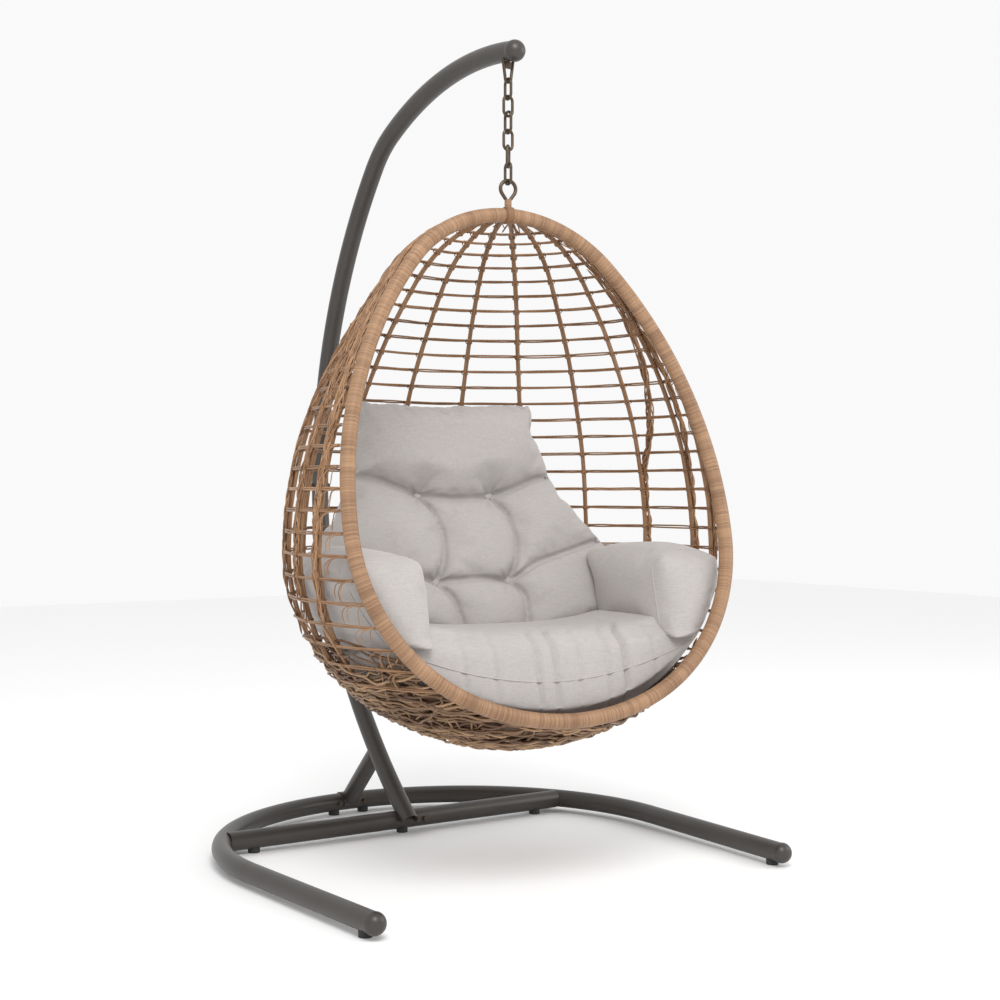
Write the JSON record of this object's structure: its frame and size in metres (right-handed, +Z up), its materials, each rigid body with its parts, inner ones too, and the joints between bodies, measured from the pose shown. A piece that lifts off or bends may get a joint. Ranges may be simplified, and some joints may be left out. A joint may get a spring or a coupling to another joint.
{
  "type": "hanging egg chair",
  "caption": "Wicker egg-shaped basket seat with tufted cushions, hung by a chain from a bowed free-standing tube stand.",
  "frame": {"origin": "middle of the whole chair's footprint, on the floor", "axes": "+Z up, -Y towards the front of the stand, where the sitter's feet are, +X to the viewer's right when looking from the front"},
  "size_m": [1.228, 1.3716, 1.9916],
  "materials": {
    "painted_steel": "satin powder coat",
    "bronze_steel": "antique bronze",
    "rubber": "matte",
    "wicker": "woven cane, satin",
    "cushion_fabric": "plain woven fabric"
  },
  "bodies": {
    "stand": {"base_tube_left": "painted_steel", "base_tube_right": "painted_steel", "base_spigot": "painted_steel", "base_end_cap_left": "painted_steel", "base_end_cap_right": "painted_steel", "crossbar_left": "painted_steel", "crossbar_right": "painted_steel", "crossbar_spigot": "painted_steel", "mast_lower": "painted_steel", "mast_upper": "painted_steel", "mast_spigot": "painted_steel", "mast_tip": "painted_steel", "brace": "painted_steel", "brace_bracket": "painted_steel", "stand_bolts": "bronze_steel", "rubber_feet": "rubber", "hanger_eye": "bronze_steel", "hanger_gusset": "bronze_steel"},
    "link_1": {"chain_link_1": "bronze_steel"},
    "link_2": {"chain_link_2": "bronze_steel"},
    "link_3": {"chain_link_3": "bronze_steel"},
    "link_4": {"chain_link_4": "bronze_steel"},
    "link_5": {"chain_link_5": "bronze_steel"},
    "link_6": {"chain_link_6": "bronze_steel"},
    "basket": {"basket_eye": "bronze_steel", "eye_post": "wicker", "rim_lashing": "wicker", "crown_gusset": "painted_steel", "rim_tube_left": "painted_steel", "rim_tube_right": "painted_steel", "rim_wrap": "wicker", "rib_left_1": "wicker", "rib_left_2": "wicker", "rib_left_3": "wicker", "rib_left_4": "wicker", "rib_left_5": "wicker", "rib_left_6": "wicker", "rib_right_1": "wicker", "rib_right_2": "wicker", "rib_right_3": "wicker", "rib_right_4": "wicker", "rib_right_5": "wicker", "rib_right_6": "wicker", "rails_1": "wicker", "rails_2": "wicker", "rails_3": "wicker", "rails_4": "wicker", "rails_5": "wicker", "rails_6": "wicker", "rails_7": "wicker", "rails_8": "wicker", "rails_9": "wicker", "bowl_weave": "wicker", "seat_cushion": "cushion_fabric", "back_cushion": "cushion_fabric", "arm_cushion_left": "cushion_fabric", "arm_cushion_right": "cushion_fabric", "cushion_buttons": "cushion_fabric"}
  },
  "joints": [
    {"name": "link_1_swing", "type": "hinge", "parent": "stand", "child": "link_1", "pos_m": [0, -0.31275, 1.885], "axis": [1, 0, 0], "range_deg": [-6, 6]},
    {"name": "link_2_sway", "type": "hinge", "parent": "link_1", "child": "link_2", "pos_m": [0, -0.31275, 1.8444], "axis": [0, 1, 0], "range_deg": [-4, 4]},
    {"name": "link_3_twist", "type": "hinge", "parent": "link_2", "child": "link_3", "pos_m": [0, -0.31275, 1.8038], "axis": [0, 0, 1], "range_deg": [-40, 40]},
    {"name": "link_4_sway", "type": "hinge", "parent": "link_3", "child": "link_4", "pos_m": [0, -0.31275, 1.7632], "axis": [0, 1, 0], "range_deg": [-4, 4]},
    {"name": "link_5_swing", "type": "hinge", "parent": "link_4", "child": "link_5", "pos_m": [0, -0.31275, 1.7226], "axis": [1, 0, 0], "range_deg": [-6, 6]},
    {"name": "link_6_swing", "type": "hinge", "parent": "link_5", "child": "link_6", "pos_m": [0, -0.31275, 1.682], "axis": [1, 0, 0], "range_deg": [-6, 6]},
    {"name": "basket_sway", "type": "hinge", "parent": "link_6", "child": "basket", "pos_m": [0, -0.31275, 1.6414], "axis": [0, 1, 0], "range_deg": [-4, 4]}
  ]
}
